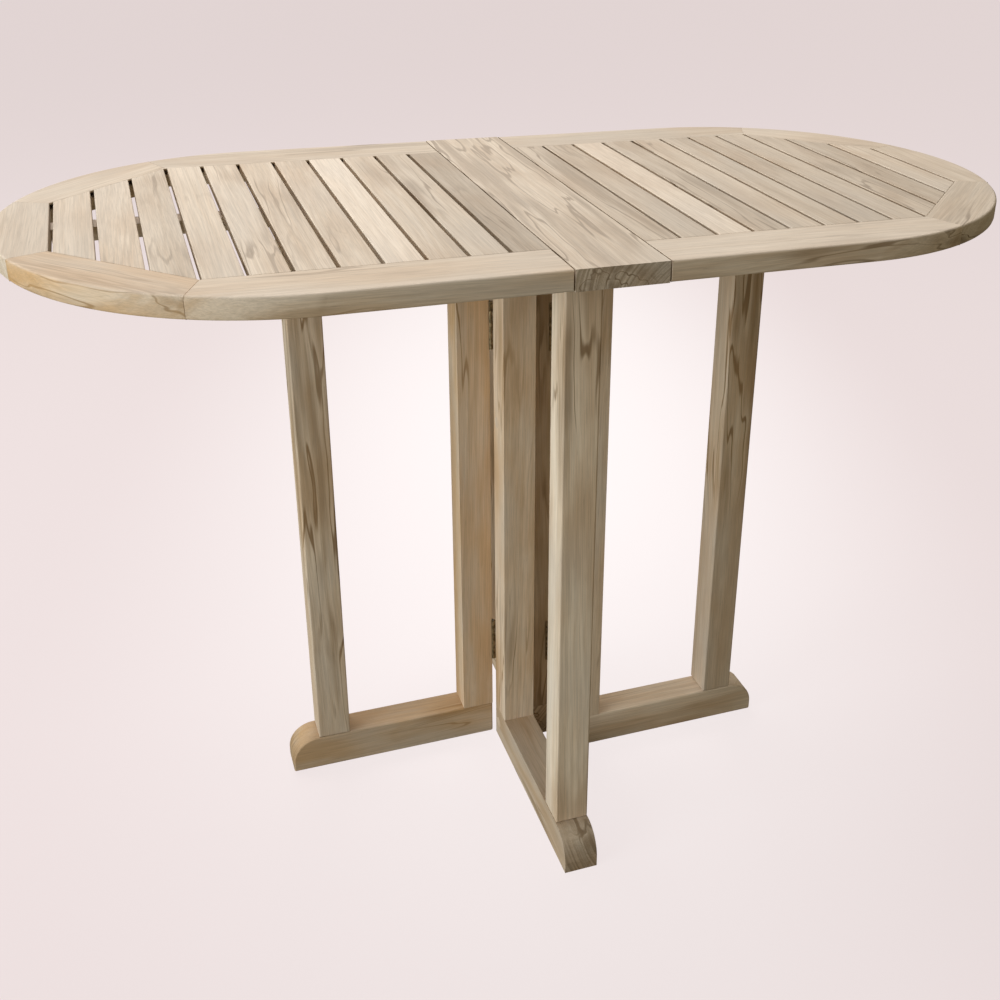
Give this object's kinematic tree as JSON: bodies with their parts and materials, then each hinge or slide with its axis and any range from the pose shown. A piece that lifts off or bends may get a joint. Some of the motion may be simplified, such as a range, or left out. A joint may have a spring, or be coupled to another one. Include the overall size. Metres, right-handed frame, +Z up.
{
  "type": "gateleg table",
  "caption": "Oval slatted gateleg table with a fixed centre board, two hinged leaves and swinging gate frames that carry them when open.",
  "frame": {"origin": "on the floor, below the middle of the open top", "axes": "+X along the open top, +Y across it, +Z up"},
  "size_m": [1.12, 0.566, 0.75],
  "materials": {
    "slat_wood": "bare weathered teak, sanded",
    "rail_wood": "bare weathered teak, sanded",
    "centre_wood": "bare teak with dark figure",
    "frame_wood": "bare teak, slightly greyed",
    "hinge_brass": "dull",
    "fastener_steel": "stainless"
  },
  "bodies": {
    "base": {"centre_board": "centre_wood", "fixed_hinge_plates": "hinge_brass", "hinge_pins": "fastener_steel", "frame_bolts": "fastener_steel", "bolt_plugs": "frame_wood", "board_screws": "fastener_steel", "front_frame_foot": "frame_wood", "front_frame_outer_post": "frame_wood", "front_frame_inner_post": "frame_wood", "front_frame_head_rail": "frame_wood", "rear_frame_foot": "frame_wood", "rear_frame_outer_post": "frame_wood", "rear_frame_inner_post": "frame_wood", "rear_frame_head_rail": "frame_wood"},
    "left_leaf": {"left_leaf_hinge_plates": "hinge_brass", "left_leaf_inner_rail": "rail_wood", "left_leaf_front_rail": "rail_wood", "left_leaf_back_rail": "rail_wood", "left_leaf_front_corner_rail": "rail_wood", "left_leaf_back_corner_rail": "rail_wood", "left_leaf_end_rail": "rail_wood", "left_leaf_batten": "frame_wood", "left_leaf_slat_1": "slat_wood", "left_leaf_slat_2": "slat_wood", "left_leaf_slat_3": "slat_wood", "left_leaf_slat_4": "slat_wood", "left_leaf_slat_5": "slat_wood", "left_leaf_slat_6": "slat_wood", "left_leaf_slat_7": "slat_wood", "left_leaf_slat_8": "slat_wood", "left_leaf_slat_9": "slat_wood", "left_leaf_slat_10": "slat_wood"},
    "right_leaf": {"right_leaf_hinge_plates": "hinge_brass", "right_leaf_inner_rail": "rail_wood", "right_leaf_front_rail": "rail_wood", "right_leaf_back_rail": "rail_wood", "right_leaf_front_corner_rail": "rail_wood", "right_leaf_back_corner_rail": "rail_wood", "right_leaf_end_rail": "rail_wood", "right_leaf_batten": "frame_wood", "right_leaf_slat_1": "slat_wood", "right_leaf_slat_2": "slat_wood", "right_leaf_slat_3": "slat_wood", "right_leaf_slat_4": "slat_wood", "right_leaf_slat_5": "slat_wood", "right_leaf_slat_6": "slat_wood", "right_leaf_slat_7": "slat_wood", "right_leaf_slat_8": "slat_wood", "right_leaf_slat_9": "slat_wood", "right_leaf_slat_10": "slat_wood"},
    "left_gate": {"left_gate_foot": "frame_wood", "left_gate_outer_post": "frame_wood", "left_gate_inner_post": "frame_wood", "left_gate_head_rail": "frame_wood", "left_gate_hinge_plates": "hinge_brass"},
    "right_gate": {"right_gate_foot": "frame_wood", "right_gate_outer_post": "frame_wood", "right_gate_inner_post": "frame_wood", "right_gate_head_rail": "frame_wood", "right_gate_hinge_plates": "hinge_brass"}
  },
  "joints": [
    {"name": "left_leaf_lift", "type": "hinge", "parent": "base", "child": "left_leaf", "pos_m": [-0.0488, 0, 0.728], "axis": [0, 1, 0], "range_deg": [0, 3]},
    {"name": "right_leaf_lift", "type": "hinge", "parent": "base", "child": "right_leaf", "pos_m": [0.0488, 0, 0.728], "axis": [0, -1, 0], "range_deg": [0, 3]},
    {"name": "left_gate_swing", "type": "hinge", "parent": "base", "child": "left_gate", "pos_m": [-0.0426, 0.0133, 0.385], "axis": [0, 0, -1], "range_deg": [0, 90]},
    {"name": "right_gate_swing", "type": "hinge", "parent": "base", "child": "right_gate", "pos_m": [0.0426, -0.0133, 0.385], "axis": [0, 0, -1], "range_deg": [0, 90]}
  ]
}
